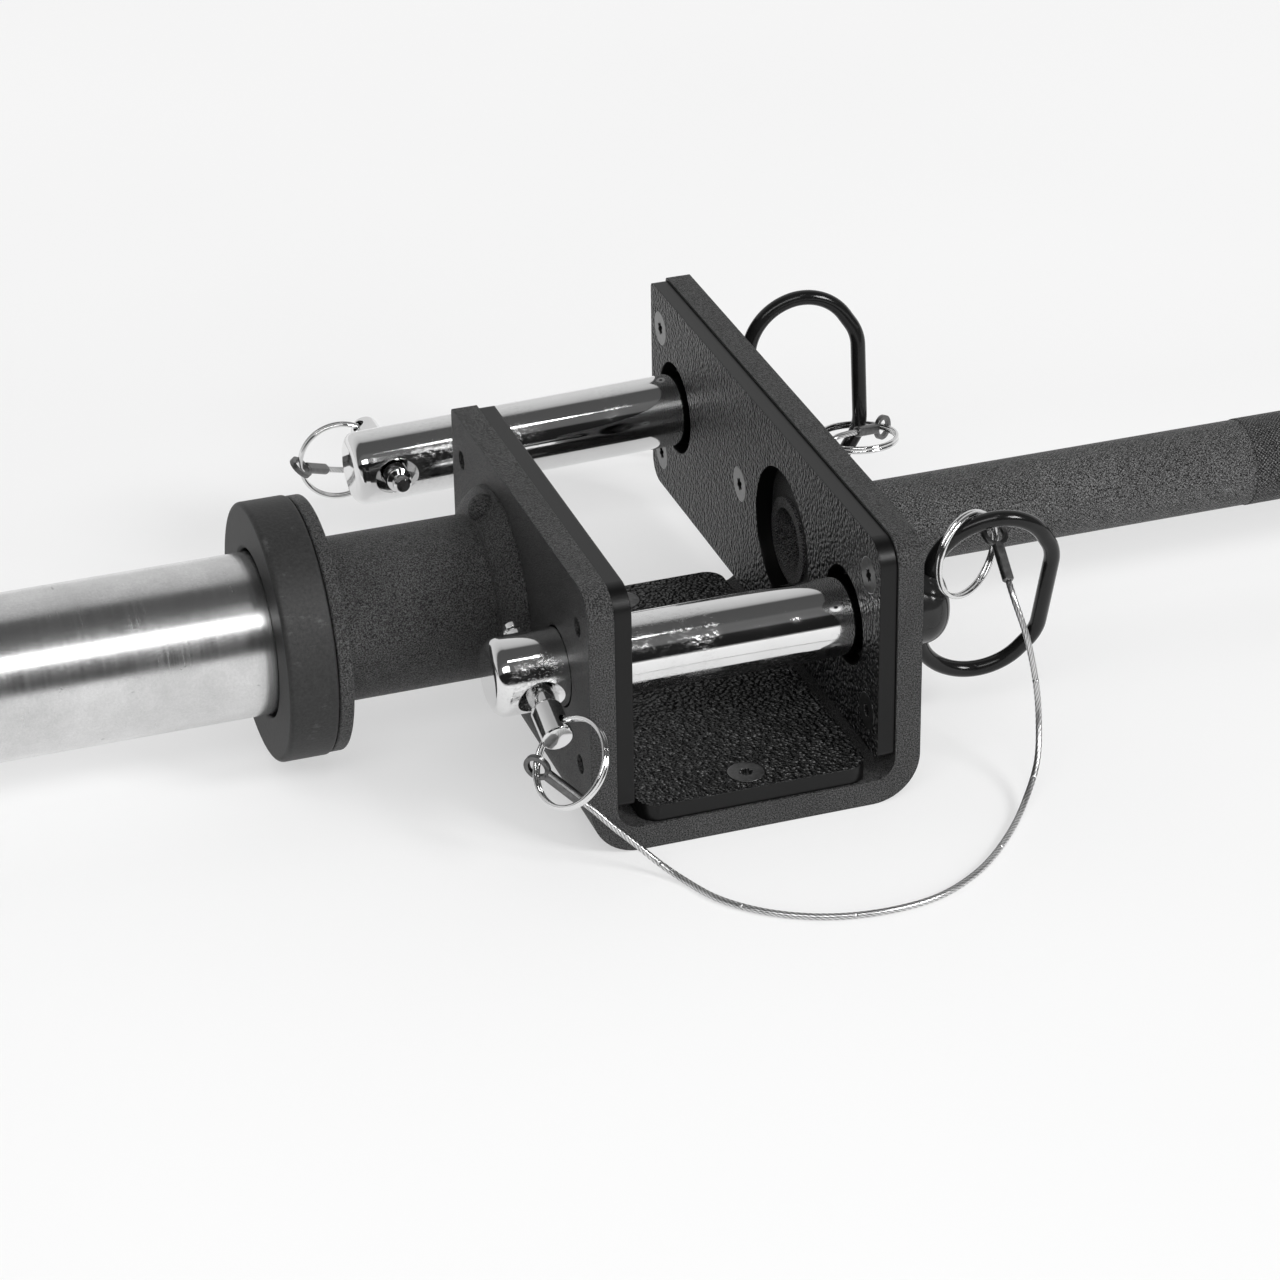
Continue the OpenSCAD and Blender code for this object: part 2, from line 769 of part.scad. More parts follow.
module right_rear_knob() on_right() at_rear() pin_knob();
module right_rear_handle() on_right() at_rear() at_handle(rear_swing) handle();
module right_rear_lock() on_right() rear_lock();
module right_rear_lock_ring() on_right() rear_lock_ring();
module right_rear_handle_ring() on_right() rear_handle_ring();
module right_rear_lock_eyelet() on_right() rear_lock_eyelet();
module right_rear_handle_eyelet() on_right() rear_handle_eyelet();
module right_rear_cable() on_right() rear_cable();

grip_bar();
left_sleeve();
left_sleeve_cap();
left_bumper();
left_stop_flange();
left_spacer();
left_bracket();
left_outer_liner();
left_inner_liner();
left_floor_liner();
left_liner_screws();
left_front_pin();
left_front_knob();
left_front_handle();
left_front_lock();
left_front_lock_ring();
left_front_handle_ring();
left_front_lock_eyelet();
left_front_handle_eyelet();
left_front_cable();
left_rear_pin();
left_rear_knob();
left_rear_handle();
left_rear_lock();
left_rear_lock_ring();
left_rear_handle_ring();
left_rear_lock_eyelet();
left_rear_handle_eyelet();
left_rear_cable();
right_sleeve();
right_sleeve_cap();
right_bumper();
right_stop_flange();
right_spacer();
right_bracket();
right_outer_liner();
right_inner_liner();
right_floor_liner();
right_liner_screws();
right_front_pin();
right_front_knob();
right_front_handle();
right_front_lock();
right_front_lock_ring();
right_front_handle_ring();
right_front_lock_eyelet();
right_front_handle_eyelet();
right_front_cable();
right_rear_pin();
right_rear_knob();
right_rear_handle();
right_rear_lock();
right_rear_lock_ring();
right_rear_handle_ring();
right_rear_lock_eyelet();
right_rear_handle_eyelet();
right_rear_cable();
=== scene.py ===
import json
import math

import bmesh
import bpy
from mathutils import Matrix, Vector


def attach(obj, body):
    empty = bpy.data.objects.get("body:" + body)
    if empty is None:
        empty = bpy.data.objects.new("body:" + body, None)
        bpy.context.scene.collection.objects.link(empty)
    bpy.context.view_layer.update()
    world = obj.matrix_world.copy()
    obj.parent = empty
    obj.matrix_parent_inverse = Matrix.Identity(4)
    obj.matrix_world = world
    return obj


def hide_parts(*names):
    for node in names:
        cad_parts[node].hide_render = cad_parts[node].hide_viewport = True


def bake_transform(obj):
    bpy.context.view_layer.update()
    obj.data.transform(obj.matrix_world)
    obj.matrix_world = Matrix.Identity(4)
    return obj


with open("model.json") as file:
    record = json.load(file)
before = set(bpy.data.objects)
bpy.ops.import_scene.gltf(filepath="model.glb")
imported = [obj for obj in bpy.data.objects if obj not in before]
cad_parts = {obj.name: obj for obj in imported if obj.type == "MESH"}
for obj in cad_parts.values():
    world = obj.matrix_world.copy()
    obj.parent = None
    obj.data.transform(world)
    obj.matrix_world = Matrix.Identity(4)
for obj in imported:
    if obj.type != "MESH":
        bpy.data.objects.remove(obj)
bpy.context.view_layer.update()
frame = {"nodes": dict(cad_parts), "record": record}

# The part's own sizes and places, in metres, as its source has them
AXIS_Y = -0.006
AXIS_Z = 0.045
HALF_SPAN = 0.584
KNURL_START = 0.200
KNURL_PITCH = 0.0026
GRIP_R = 0.014
CHANNEL_W = 0.088
PLATE_T = 0.008
FRONT_PIN_Y = -0.060
REAR_PIN_Y = 0.093
PIN_RISE = 0.005
PIVOT_X = CHANNEL_W / 2 + PLATE_T + 0.013

# Each side of the bar, and which way along X is inboard there
SIDES = (("left", 1), ("right", -1))
ENDS = ("front", "rear")
UP = Vector((0, 0, 1))

# Camera, as the photograph was taken
CAMERA_AT = Vector((-0.9500, -1.0741, 0.6435))
CAMERA_YAW = math.radians(18.61)
CAMERA_PITCH = math.radians(29.0)
CAMERA_ROLL = math.radians(-0.90)
SENSOR_MM = 36.0
LENS_MM = 115.315
SEES_TO = 50

# Lanyards: the routes of the part's source, from a bracket's middle, in metres
CABLE_D = 0.002
FRONT_ROUTE = [
    (-0.057, -0.0946, -0.0208), (-0.0539, -0.0973, -0.0233), (-0.049, -0.0995, -0.0285),
    (-0.0435, -0.101, -0.034), (-0.037, -0.104, -0.0405), (-0.0315, -0.111, -0.0437),
    (-0.025, -0.1245, -0.0439), (-0.014, -0.136, -0.0439), (0.001, -0.144, -0.0439),
    (0.018, -0.147, -0.0439), (0.035, -0.145, -0.0439), (0.051, -0.1365, -0.0439),
    (0.066, -0.1225, -0.0439), (0.0785, -0.1075, -0.0425), (0.087, -0.097, -0.0355),
    (0.0902, -0.09, -0.025), (0.09, -0.087, -0.013), (0.0877, -0.0843, 0.001),
    (0.0852, -0.0794, 0.0123), (0.0853, -0.0756, 0.0153),
]
REAR_ROUTE = [
    (-0.0727, 0.129, -0.015), (-0.0695, 0.1318, -0.0171), (-0.061, 0.138, -0.0215),
    (-0.049, 0.1445, -0.0255), (-0.034, 0.15, -0.029), (-0.017, 0.1545, -0.0315),
    (0.001, 0.1575, -0.0335), (0.019, 0.159, -0.035), (0.036, 0.1585, -0.037),
    (0.051, 0.1545, -0.039), (0.063, 0.1465, -0.041), (0.07, 0.1345, -0.0425),
    (0.0735, 0.12, -0.043), (0.075, 0.105, -0.042), (0.076, 0.0915, -0.0375),
    (0.0773, 0.0805, -0.0285), (0.079, 0.0738, -0.0175), (0.082, 0.0708, -0.009),
    (0.087, 0.0716, -0.005), (0.0934, 0.0751, -0.0058), (0.0973, 0.0777, -0.0071),
]
ROUTES = {"front": FRONT_ROUTE, "rear": REAR_ROUTE}

# What a lanyard follows as it moves: a body, and where, as a share of the lanyard's length
# from the locking pin's end and metres past that.
FOLLOWS = {
    "front": [
        ("lock_ring", 0, 0), ("lock", 0, 0.031), ("pin", 0, 0.062), ("frame", 0, 0.096),
        ("frame", 1, -0.098), ("pin", 1, -0.064), ("handle", 1, -0.032), ("handle_ring", 1, 0),
    ],
    "rear": [
        ("lock_ring", 0, 0), ("lock", 0, 0.045), ("pin", 0.5, 0),
        ("handle", 1, -0.045), ("handle_ring", 1, 0),
    ],
}
# Near the locking pin, the share of bend that a lanyard's stretch is given
LOCK_SIDE_BEND = 0.6

# The wire rope's own form: six strands, the length of one turn of them and their grooves, and how
# steeply the painted shade in the grooves gives way to the strands' full brightness
SPLINE_STEPS = 40
CABLE_STEP = 0.0007
CABLE_LAY = 0.011
CABLE_RIM = 30
STRANDS = 6
STRAND_DEPTH = 0.00028
STRAND_FLATNESS = 1.5
STRAND_SHADE_GAIN = 1.4

# Handles: each half of a wire from its pivot on, straights as (length, 0) and bends as
# (radius, degrees), then how the hitch pins and the handles on them lie, in degrees
HANDLE_R = 0.0025
HANDLE_RIM = 32
HANDLE_START = 0.0083
HANDLE_SIDE = [(0.0047, 0), (0.0195, 75), (0.017, 73), (0.004, 0), (0.016, 32)]
HANDLE_BEND_STEP = 2.5
FRONT_ROLL = 17.5
FRONT_SWING = -7
REAR_DROOP = -1.5
REAR_ROLL = -1.5
REAR_SWING = -6

# Looks: the values that a noise mostly takes, and how far beside the brackets the knurling's
# grooves are filled
NOISE_SPAN = (0.3, 0.7)
KNURL_FILLED = 0.4

# The floor's glow, as the camera sees it: near the bar it rises from front to back, over
# these metres along Y, and far off it rises towards the surround's grey, over these squares
# of the distance from the bar's middle
FLOOR_SIZE = 14
FLOOR_DROP = 0.0002
FLOOR_TONES = (0.39, 0.41)
NEAR_GLOW_ALONG = (-0.8, 1.2)
NEAR_GLOW = (0.40, 0.64)
FAR_GLOW_OFF = (2.0, 10.0)
FAR_GLOW = (0.40, 0.82)

# The room as the bare metal mirrors it: degrees from overhead, towards the front, and grey
ROOM = [
    (-180, 0.9), (-120, 1.0), (-60, 1.0), (-32, 0.80), (-22, 0.60), (-16, 0.12), (22, 0.13),
    (28, 0.20), (50, 0.18), (55, 0.02), (86, 0.02), (90, 0.7), (180, 0.9),
]
ROOM_STRENGTH = 0.75
SURROUND = (0.94, 0.94, 0.94, 1)

# Lamps: place, target, width and height in metres, watts, and whether bright metal shows it
LAMPS = {
    "sleeve_strip": ((-1.06, -0.865, 0.915), (-1.06, -0.02, 0.05), (1.28, 0.32), 6.5, True),
    "pin_strip": ((-0.34, -0.48, 1.11), (-0.64, -0.03, 0.05), (0.10, 0.06), 0.2, True),
    "key": ((1.53, -2.75, 2.24), (-0.45, 0, 0.04), (1.15, 1.15), 110, True),
    "fill": ((-0.5, 0, 4.0), (-0.5, 0, 0), (6.0, 6.0), 37, False),
    "front_fill": ((-0.5, -3.2, 0.7), (-0.5, 0, 0), (3.4, 1.2), 76, False),
}


# Camera

def make_camera():
    """The photograph's view: heading, pitch and roll as read from its straight edges."""
    data = bpy.data.cameras.new("camera")
    data.sensor_width = SENSOR_MM
    data.lens = LENS_MM
    data.clip_end = SEES_TO
    camera = bpy.data.objects.new("camera", data)
    bpy.context.scene.collection.objects.link(camera)
    heading = Vector((math.sin(CAMERA_YAW), math.cos(CAMERA_YAW), 0))
    level = Vector((math.cos(CAMERA_YAW), -math.sin(CAMERA_YAW), 0))
    ahead = heading * math.cos(CAMERA_PITCH) - UP * math.sin(CAMERA_PITCH)
    up = level.cross(ahead)
    right = level * math.cos(CAMERA_ROLL) + up * math.sin(CAMERA_ROLL)
    over = -level * math.sin(CAMERA_ROLL) + up * math.cos(CAMERA_ROLL)
    turn = Matrix((right, over, -ahead)).transposed()
    camera.matrix_world = Matrix.Translation(CAMERA_AT) @ turn.to_4x4()
    bpy.context.scene.camera = camera


# Tubes along a path

def spline(points):
    """Close points on a smooth curve through the given ones (centripetal splines)."""
    p = [points[0] * 2 - points[1]] + points + [points[-1] * 2 - points[-2]]
    fine = []
    for a, b, c, d in zip(p, p[1:], p[2:], p[3:]):
        t1 = (b - a).length ** 0.5
        t2 = t1 + (c - b).length ** 0.5
        t3 = t2 + (d - c).length ** 0.5
        for k in range(SPLINE_STEPS):
            t = t1 + (t2 - t1) * k / SPLINE_STEPS
            ab = a * ((t1 - t) / t1) + b * (t / t1)
            bc = b * ((t2 - t) / (t2 - t1)) + c * ((t - t1) / (t2 - t1))
            cd = c * ((t3 - t) / (t3 - t2)) + d * ((t - t2) / (t3 - t2))
            abc = ab * ((t2 - t) / t2) + bc * (t / t2)
            bcd = bc * ((t3 - t) / (t3 - t1)) + cd * ((t - t1) / (t3 - t1))
            fine.append(abc * ((t2 - t) / (t2 - t1)) + bcd * ((t - t1) / (t2 - t1)))
    fine.append(points[-1].copy())
    return fine


def evenly_spaced(fine, step):
    """Points about a step apart along a line of close points, and the line's length."""
    total = sum((b - a).length for a, b in zip(fine, fine[1:]))
    count = round(total / step)
    even = [fine[0].copy()]
    gone = 0.0
    for a, b in zip(fine, fine[1:]):
        run = (b - a).length
        while len(even) < count and gone + run >= total * len(even) / count:
            even.append(a.lerp(b, (total * len(even) / count - gone) / run))
        gone += run
    even.append(fine[-1].copy())
    return even, total


def carried_sides(path, side):
    """For each point, two directions square to the path, carried along it without twisting."""
    out = []
    for i in range(len(path)):
        ahead = (path[min(i + 1, len(path) - 1)] - path[max(i - 1, 0)]).normalized()
        side = (side - ahead * side.dot(ahead)).normalized()
        out.append((side, ahead.cross(side)))
    return out


def skinned(bm, rings, name):
    """Joins rings of points into a closed, smooth tube and puts it into the scene."""
    for a, b in zip(rings, rings[1:]):
        for k in range(len(a)):
            m = (k + 1) % len(a)
            bm.faces.new((a[k], a[m], b[m], b[k]))
    bm.faces.new(list(reversed(rings[0])))
    bm.faces.new(rings[-1])
    bmesh.ops.recalc_face_normals(bm, faces=bm.faces)
    mesh = bpy.data.meshes.new(name)
    bm.to_mesh(mesh)
    bm.free()
    for face in mesh.polygons:
        face.use_smooth = True
    piece = bpy.data.objects.new(name, mesh)
    bpy.context.scene.collection.objects.link(piece)
    return piece


# Lanyards

def rope_rings(path):
    """Round each point, an outline with a lobe for each strand, turned along the path. Each
    point of it comes with its painted groove shade, dark in the grooves between strands and full
    on their crests, from how far out its strand is."""
    rings = []
    turn = 0.0
    for i, (p, (u, v)) in enumerate(zip(path, carried_sides(path, UP))):
        if i:
            turn += 2 * math.pi * (p - path[i - 1]).length / CABLE_LAY
        ring = []
        for k in range(CABLE_RIM):
            a = 2 * math.pi * k / CABLE_RIM
            lobe = abs(math.sin(STRANDS / 2 * (a - turn)))
            r = CABLE_D / 2 - STRAND_DEPTH * (1 - lobe) ** STRAND_FLATNESS
            spot = p + (u * math.cos(a) + v * math.sin(a)) * r
            # Painted groove shade: low in the grooves between strands, full on the strands'
            # crests
            ring.append((spot, min(1.0, lobe * STRAND_SHADE_GAIN)))
        rings.append(ring)
    return rings


def rope_mesh(name, outlines):
    """A closed tube through the outlines, with their painted groove shade on its points."""
    bm = bmesh.new()
    groove_shade = bm.verts.layers.float.new("strand")
    rings = []
    for outline in outlines:
        ring = []
        for spot, shade in outline:
            point = bm.verts.new(spot)
            point[groove_shade] = shade
            ring.append(point)
        rings.append(ring)
    return skinned(bm, rings, name)


def stops_along(stem, end, path, total):
    """The bodies a lanyard follows, each with its point on the path and its share of bend."""
    stops = []
    for body, share, past in FOLLOWS[end]:
        name = body if body == "frame" else f"{stem}_{body}"
        bend = 1 if share else LOCK_SIDE_BEND
        stops.append((name, round((share + past / total) * (len(path) - 1)), bend))
    return stops


def make_lanyard(side, inboard, end, material):
    """One lanyard, in stretches that each ride a body, or lie fixed where they are between two
    bodies.
    """
    stem = f"{side}_{end}"
    route = [
        Vector((inboard * (x - HALF_SPAN), y + AXIS_Y, z + AXIS_Z)) for x, y, z in ROUTES[end]
    ]
    path, total = evenly_spaced(spline(route), CABLE_STEP)
    outlines = rope_rings(path)
    stops = stops_along(stem, end, path, total)
    for k, (stop, after) in enumerate(zip(stops, stops[1:]), 1):
        body, first, bend = stop
        next_body, last, _ = after
        rope = rope_mesh(f"{stem}_rope_{k}", outlines[first:last + 1])
        rope.data.materials.append(material)
        if body == next_body:
            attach(rope, body)
        else:
            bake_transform(rope)
        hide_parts(f"{stem}_cable")


def make_lanyards(material):
    for side, inboard in SIDES:
        for end in ENDS:
            make_lanyard(side, inboard, end, material)


# Handles

def turned(axis, degrees):
    return Matrix.Rotation(math.radians(degrees), 4, axis)


def handle_place(end):
    """Where a handle hangs, from its bracket's middle: how its hitch pin lies, then its swing."""
    if end == "front":
        return (Matrix.Translation((PIVOT_X, FRONT_PIN_Y, PIN_RISE))
                @ turned("X", FRONT_ROLL) @ turned("Z", FRONT_SWING))
    inner_wall = CHANNEL_W / 2 + PLATE_T / 2
    return (Matrix.Translation((inner_wall, REAR_PIN_Y, PIN_RISE))
            @ turned("Y", REAR_DROOP) @ turned("X", REAR_ROLL)
            @ Matrix.Translation((PIVOT_X - inner_wall, 0, 0)) @ turned("Z", REAR_SWING))


def handle_path():
    """Centre line of a handle's wire in the handle's frame: up one side, down the other."""
    x, z, way = 0.0, HANDLE_START, 0.0
    half = [Vector((x, 0, z))]
    for run, turn in HANDLE_SIDE:
        if not turn:
            x += run * math.sin(way)
            z += run * math.cos(way)
            half.append(Vector((x, 0, z)))
            continue
        hub = (x + run * math.cos(way), z - run * math.sin(way))
        count = math.ceil(turn / HANDLE_BEND_STEP)
        for k in range(1, count + 1):
            to = way + math.radians(turn) * k / count
            x, z = hub[0] - run * math.cos(to), hub[1] + run * math.sin(to)
            half.append(Vector((x, 0, z)))
        way = to
    return half + [Vector((p.x, 0, -p.z)) for p in reversed(half)]


def wire_mesh(name, path, place):
    """A round wire along a path in the handle's frame."""
    bm = bmesh.new()
    rings = []
    for p, (u, v) in zip(path, carried_sides(path, Vector((0, 1, 0)))):
        rings.append([
            bm.verts.new(place @ (p + (u * math.cos(a) + v * math.sin(a)) * HANDLE_R))
            for a in (2 * math.pi * k / HANDLE_RIM for k in range(HANDLE_RIM))
        ])
    return skinned(bm, rings, name)


def make_handles(material):
    """The coated wires as smooth tubes, in place of the part's flat-sided ones."""
    path = handle_path()
    bracket = Matrix.Translation((-HALF_SPAN, AXIS_Y, AXIS_Z))
    for side, inboard in SIDES:
        mirror = Matrix.Diagonal((inboard, 1, 1, 1))
        for end in ENDS:
            place = mirror @ bracket @ handle_place(end)
            wire = wire_mesh(f"{side}_{end}_wire", path, place)
            wire.data.materials.append(material)
            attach(wire, f"{side}_{end}_handle")
            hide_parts(f"{side}_{end}_handle")


# Materials

class Nodes:
    """A short way to write the nodes of a material or of the world."""

    def __init__(self, tree, place="Object"):
        self.tree = tree
        self.place = self.add("ShaderNodeTexCoord").outputs[place]

    def add(self, kind, **settings):
        node = self.tree.nodes.new(kind)
        for key, value in settings.items():
            setattr(node, key, value)
        return node

    def link(self, a, b):
        self.tree.links.new(a, b)

    def put(self, socket, value):
        """Links a node's output to the socket, or sets a plain number there."""
        if hasattr(value, "is_linked"):
            self.link(value, socket)
        else:
            socket.default_value = value

    def math(self, operation, a, b=0.0):
        node = self.add("ShaderNodeMath", operation=operation)
        self.put(node.inputs[0], a)
        self.put(node.inputs[1], b)
        return node.outputs[0]

    def plus(self, a, b):
        return self.math("ADD", a, b)

    def minus(self, a, b):
        return self.math("SUBTRACT", a, b)

    def times(self, a, b):
        return self.math("MULTIPLY", a, b)

    def larger(self, a, b):
        return self.math("MAXIMUM", a, b)

    def noise(self, scale, detail, rough, at=None):
        node = self.add("ShaderNodeTexNoise")
        node.inputs["Scale"].default_value = scale
        node.inputs["Detail"].default_value = detail
        node.inputs["Roughness"].default_value = rough
        self.link(at or self.place, node.inputs["Vector"])
        return node.outputs["Fac"]

    def drawn_out(self, scales, detail, rough):
        """Noise with a scale of its own along each axis."""
        node = self.add("ShaderNodeMapping")
        node.inputs["Scale"].default_value = scales
        self.link(self.place, node.inputs["Vector"])
        return self.noise(1.0, detail, rough, at=node.outputs[0])

    def cells(self, scale, smooth):
        node = self.add("ShaderNodeTexVoronoi", feature="SMOOTH_F1")
        node.inputs["Scale"].default_value = scale
        node.inputs["Smoothness"].default_value = smooth
        self.link(self.place, node.inputs["Vector"])
        return node.outputs["Distance"]

    def axes(self, vector=None):
        node = self.add("ShaderNodeSeparateXYZ")
        self.link(vector or self.place, node.inputs[0])
        return node.outputs

    def rays(self):
        return self.add("ShaderNodeLightPath").outputs

    def ramp(self, value, between, results=(0.0, 1.0)):
        """The first result up to the range between, the second one from its end on."""
        node = self.add("ShaderNodeMapRange")
        for socket, number in zip(node.inputs, (value, *between, *results)):
            self.put(socket, number)
        return node.outputs[0]

    def spread(self, noise, low, high):
        """From low to high over the values that a noise mostly takes."""
        return self.ramp(noise, NOISE_SPAN, (low, high))

    def stops(self, value, stops):
        """Greys between stops, each a value from 0 to 1 and its grey."""
        node = self.add("ShaderNodeValToRGB")
        elements = node.color_ramp.elements
        elements.remove(elements[1])
        for k, (at, grey) in enumerate(stops):
            stop = elements.new(at) if k else elements[0]
            stop.position = at
            stop.color = (grey, grey, grey, 1)
        self.link(value, node.inputs[0])
        return node.outputs[0]

    def background(self, colour, strength):
        node = self.add("ShaderNodeBackground")
        self.put(node.inputs[0], colour)
        self.put(node.inputs[1], strength)
        return node.outputs[0]


class Paint(Nodes):
    """The nodes of a new material with one shader."""

    def __init__(self, name):
        self.material = bpy.data.materials.new(name)
        self.material.use_nodes = True
        super().__init__(self.material.node_tree)
        self.shader = self.tree.nodes["Principled BSDF"].inputs

    def grey(self, value):
        node = self.add("ShaderNodeCombineColor")
        for socket in node.inputs:
            self.put(socket, value)
        return node.outputs[0]

    def soft_edges(self, radius):
        node = self.add("ShaderNodeBevel", samples=4)
        node.inputs["Radius"].default_value = radius
        return node.outputs[0]

    def bump(self, height, depth, strength, under):
        """The surface under, raised by a height that stands for this many metres."""
        node = self.add("ShaderNodeBump")
        node.inputs["Strength"].default_value = strength
        node.inputs["Distance"].default_value = depth
        self.link(height, node.inputs["Height"])
        self.link(under, node.inputs["Normal"])
        return node.outputs[0]

    def finish(self, tone, rough, normal=None, **fixed):
        """The material, with a grey tone, its roughness and the shader's other values."""
        self.put(self.shader["Base Color"], self.grey(tone))
        self.put(self.shader["Roughness"], rough)
        if normal is not None:
            self.link(normal, self.shader["Normal"])
        for key, value in fixed.items():
            self.put(self.shader[key.replace("_", " ")], value)
        return self.material


def powder_coat(name, knurl=False):
    """Black powder coat: a fine grain over a slightly mottled grey, with painted glints, bright
    specks that the grain lifts into the colour; on the knurled bar, painted shade in the grooves
    and painted highlight on the ridges.
    """
    n = Paint(name)
    fine = n.noise(scale=2200, detail=2, rough=0.8)
    mottle = n.noise(scale=60, detail=4, rough=0.6)
    # Painted glints: the fine grain makes bright specks in the coat's colour, up to about three
    # times its grey
    painted_glints = n.ramp(fine, (0.40, 0.64), (0.05, 3.2))
    tone = n.times(n.spread(mottle, 0.022, 0.031), painted_glints)
    normal = n.bump(fine, depth=0.0006, strength=1.0, under=n.soft_edges(0.0006))
    if knurl:
        ridges = knurl_height(n)
        # Painted shade and highlight: the coat's colour darkens in the knurl's grooves and
        # lightens on its ridges
        tone = n.times(tone, n.ramp(ridges, (0.0, 0.8), (0.3, 3.2)))
        normal = n.bump(ridges, depth=0.0006, strength=1.0, under=normal)
    return n.finish(tone, n.spread(mottle, 0.40, 0.48), normal, Specular_IOR_Level=0.22)


def knurl_height(n):
    """Diamond knurling round the bar, with its grooves partly filled beside the brackets."""
    x, y, z = n.axes()
    around = n.math("ARCTAN2", n.minus(z, AXIS_Z), n.minus(y, AXIS_Y))
    arc = n.times(around, GRIP_R)
    waves = []
    for slanted in (n.plus(x, arc), n.minus(x, arc)):
        wave = n.math("SINE", n.times(slanted, 2 * math.pi / KNURL_PITCH))
        waves.append(n.math("ABSOLUTE", wave))
    diamonds = n.math("MINIMUM", *waves)
    beside = n.math("GREATER_THAN", n.math("ABSOLUTE", x), HALF_SPAN - KNURL_START)
    return n.larger(diamonds, n.times(beside, KNURL_FILLED))


def pebbled_plastic(name, face):
    """Liner plastic: pebbled like leather on its broad faces, smooth on its edges, with painted
    highlights on the pebbles' crests and painted shade in the hollows between them.
    """
    n = Paint(name)
    facing = n.axes(n.add("ShaderNodeTexCoord").outputs["Normal"])
    broad = n.math("GREATER_THAN", n.math("ABSOLUTE", facing[face]), 0.9)
    pebbles = n.cells(scale=760, smooth=0.3)
    fold = n.noise(scale=620, detail=3, rough=0.65)
    height = n.plus(n.times(pebbles, -1.2), n.times(fold, 1.2))
    # Painted highlight and shade: the colour is light on the pebbles' crests and dark in the
    # hollows between them
    crest_highlight = n.math("POWER", n.ramp(height, (-0.05, 0.5)), 3.0)
    tone = n.ramp(n.times(crest_highlight, broad), (0.0, 1.0), (0.002, 0.17))
    normal = n.bump(n.times(height, broad), depth=0.0014, strength=1.0,
                    under=n.soft_edges(0.0008))
    return n.finish(tone, 0.33, normal, Specular_IOR_Level=0.28)


def satin_steel():
    """Bare sleeve steel: a fine even grain with faint stains and a few thin scratches."""
    n = Paint("satin_steel")
    grain = n.noise(scale=1500, detail=2, rough=0.6)
    stain = n.noise(scale=38, detail=5, rough=0.7)
    turned_marks = n.drawn_out((1100, 40, 40), detail=3, rough=0.6)
    nick = n.ramp(n.drawn_out((240, 55, 320), detail=3, rough=0.6), (0.72, 0.76))
    tone = n.times(n.ramp(stain, (0.35, 0.70), (0.71, 0.57)), n.spread(grain, 0.95, 1.05))
    tone = n.minus(tone, n.times(nick, 0.2))
    rough = n.plus(n.spread(stain, 0.20, 0.27), n.spread(turned_marks, -0.03, 0.03))
    height = n.plus(n.plus(grain, n.times(turned_marks, 2.0)), n.times(nick, -3.0))
    normal = n.bump(height, depth=0.00002, strength=0.4, under=n.soft_edges(0.0003))
    return n.finish(tone, rough, normal, Metallic=1.0)


def bright_plate(name, tone, rough, rubbed):
    """Bright plate, slightly uneven; rubbed is how strongly use has scuffed it."""
    n = Paint(name)
    uneven = n.noise(scale=70, detail=3, rough=0.5)
    where = n.ramp(n.noise(scale=26, detail=3, rough=0.6), (0.47, 0.60))
    rub = n.ramp(n.drawn_out((700, 1300, 1300), detail=5, rough=0.8), (0.46, 0.64))
    scuff = n.times(n.times(where, rub), rubbed)
    shade = n.minus(n.spread(uneven, tone, tone * 0.95), n.times(scuff, 0.1))
    gloss = n.plus(n.spread(uneven, rough * 0.8, rough * 1.3), n.times(scuff, 0.42))
    height = n.minus(uneven, n.times(scuff, 0.25))
    normal = n.bump(height, depth=0.00005, strength=0.5, under=n.soft_edges(0.0003))
    return n.finish(shade, gloss, normal, Metallic=1.0)


def rubber():
    """Matte rubber with pale scuffs."""
    n = Paint("scuffed_rubber")
    fine = n.noise(scale=1100, detail=3, rough=0.6)
    scuff = n.ramp(n.drawn_out((160, 60, 320), detail=5, rough=0.75), (0.6, 0.78))
    tone = n.plus(n.spread(fine, 0.013, 0.024), n.times(scuff, 0.05))
    normal = n.bump(fine, depth=0.00015, strength=0.6, under=n.soft_edges(0.0008))
    return n.finish(tone, n.ramp(scuff, (0, 1), (0.55, 0.75)), normal, Specular_IOR_Level=0.3)


def gloss_plastic(name, tone, rough, shine=0.5):
    """Moulded or dipped black plastic with a soft gloss."""
    n = Paint(name)
    uneven = n.noise(scale=140, detail=3, rough=0.5)
    normal = n.bump(uneven, depth=0.00015, strength=0.3, under=n.soft_edges(0.0005))
    return n.finish(n.spread(uneven, tone, tone * 1.5), n.spread(uneven, rough, rough * 1.4),
                    normal, Specular_IOR_Level=shine)


def dull_steel(name, tone, rough):
    """Crimped or turned steel with a fine uneven grain."""
    n = Paint(name)
    uneven = n.noise(scale=700, detail=4, rough=0.6)
    normal = n.bump(uneven, depth=0.00006, strength=0.5, under=n.soft_edges(0.0004))
    return n.finish(n.spread(uneven, tone * 0.7, tone * 1.2),
                    n.spread(uneven, rough, rough * 1.3), normal, Metallic=1.0)


def rope_steel():
    """Bare wire rope: bright strands with painted shade in the grooves between them, from the
    shade stored on the mesh.
    """
    n = Paint("steel_rope")
    groove_shade = n.add("ShaderNodeAttribute", attribute_name="strand").outputs["Fac"]
    # Painted shade: the colour darkens in the grooves between strands
    return n.finish(n.ramp(groove_shade, (0.0, 1.0), (0.06, 0.72)), 0.32, Metallic=1.0)


def dress(by_piece, by_slot):
    """Gives every CAD node its piece's own material, or else the material of its slot."""
    slots = {entry["node"]: entry["material_slot"] for entry in frame["record"]["subparts"]}
    for name, node in frame["nodes"].items():
        piece = name.removeprefix("left_").removeprefix("right_")
        material = by_piece.get(piece) or by_slot[slots[name]]
        if not node.material_slots:
            node.data.materials.append(material)
        for slot in node.material_slots:
            slot.link = "OBJECT"
            slot.material = material


# Stage

